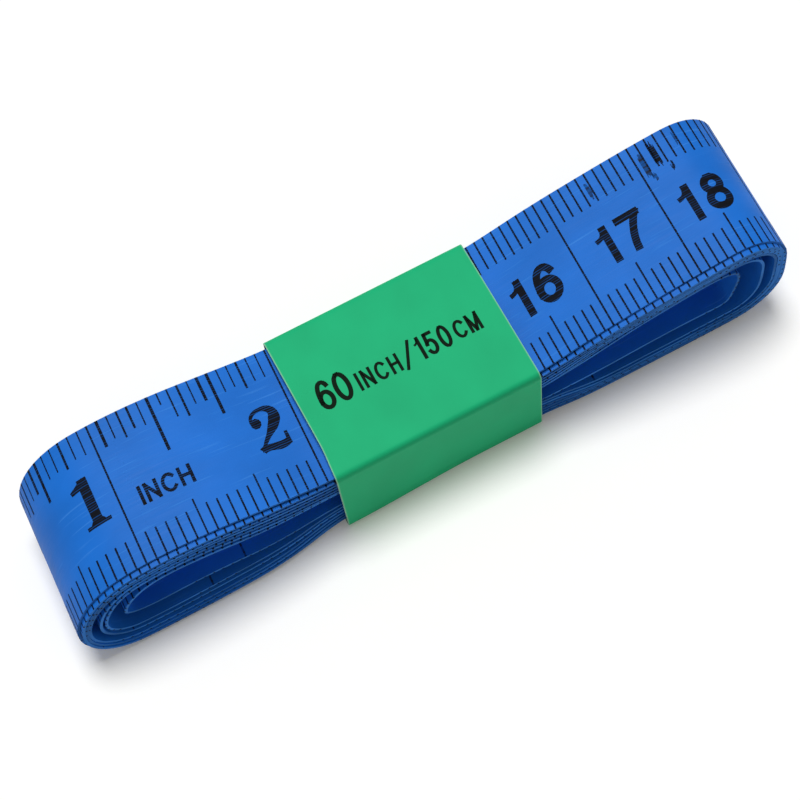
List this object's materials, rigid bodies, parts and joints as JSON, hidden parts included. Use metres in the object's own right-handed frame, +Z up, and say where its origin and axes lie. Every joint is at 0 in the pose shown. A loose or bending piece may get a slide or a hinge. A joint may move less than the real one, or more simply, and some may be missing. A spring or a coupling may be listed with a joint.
{
  "type": "cloth tape measure",
  "caption": "Coated cloth tape with folded metal tips, wound flat with an open loop at each end and held at the waist by a paper sleeve that slides off.",
  "frame": {"origin": "centre of the sleeve's bottom face, on the table", "axes": "+X along the wound coil, +Y across the tape towards the sleeve's glued lap, +Z up"},
  "size_m": [0.1031, 0.0227, 0.0198],
  "materials": {
    "tape": "satin coated cloth",
    "tip": "satin plated",
    "sleeve": "smooth printed paper"
  },
  "bodies": {
    "coil": {"tape_strip": "tape", "start_tip": "tip", "end_tip": "tip"},
    "sleeve": {"paper_sleeve": "sleeve"}
  },
  "joints": [
    {"name": "sleeve_slide", "type": "slide", "parent": "coil", "child": "sleeve", "axis": [1, 0, 0], "range_m": [-0.004, 0.037], "deforming": ["tape_strip"]}
  ]
}
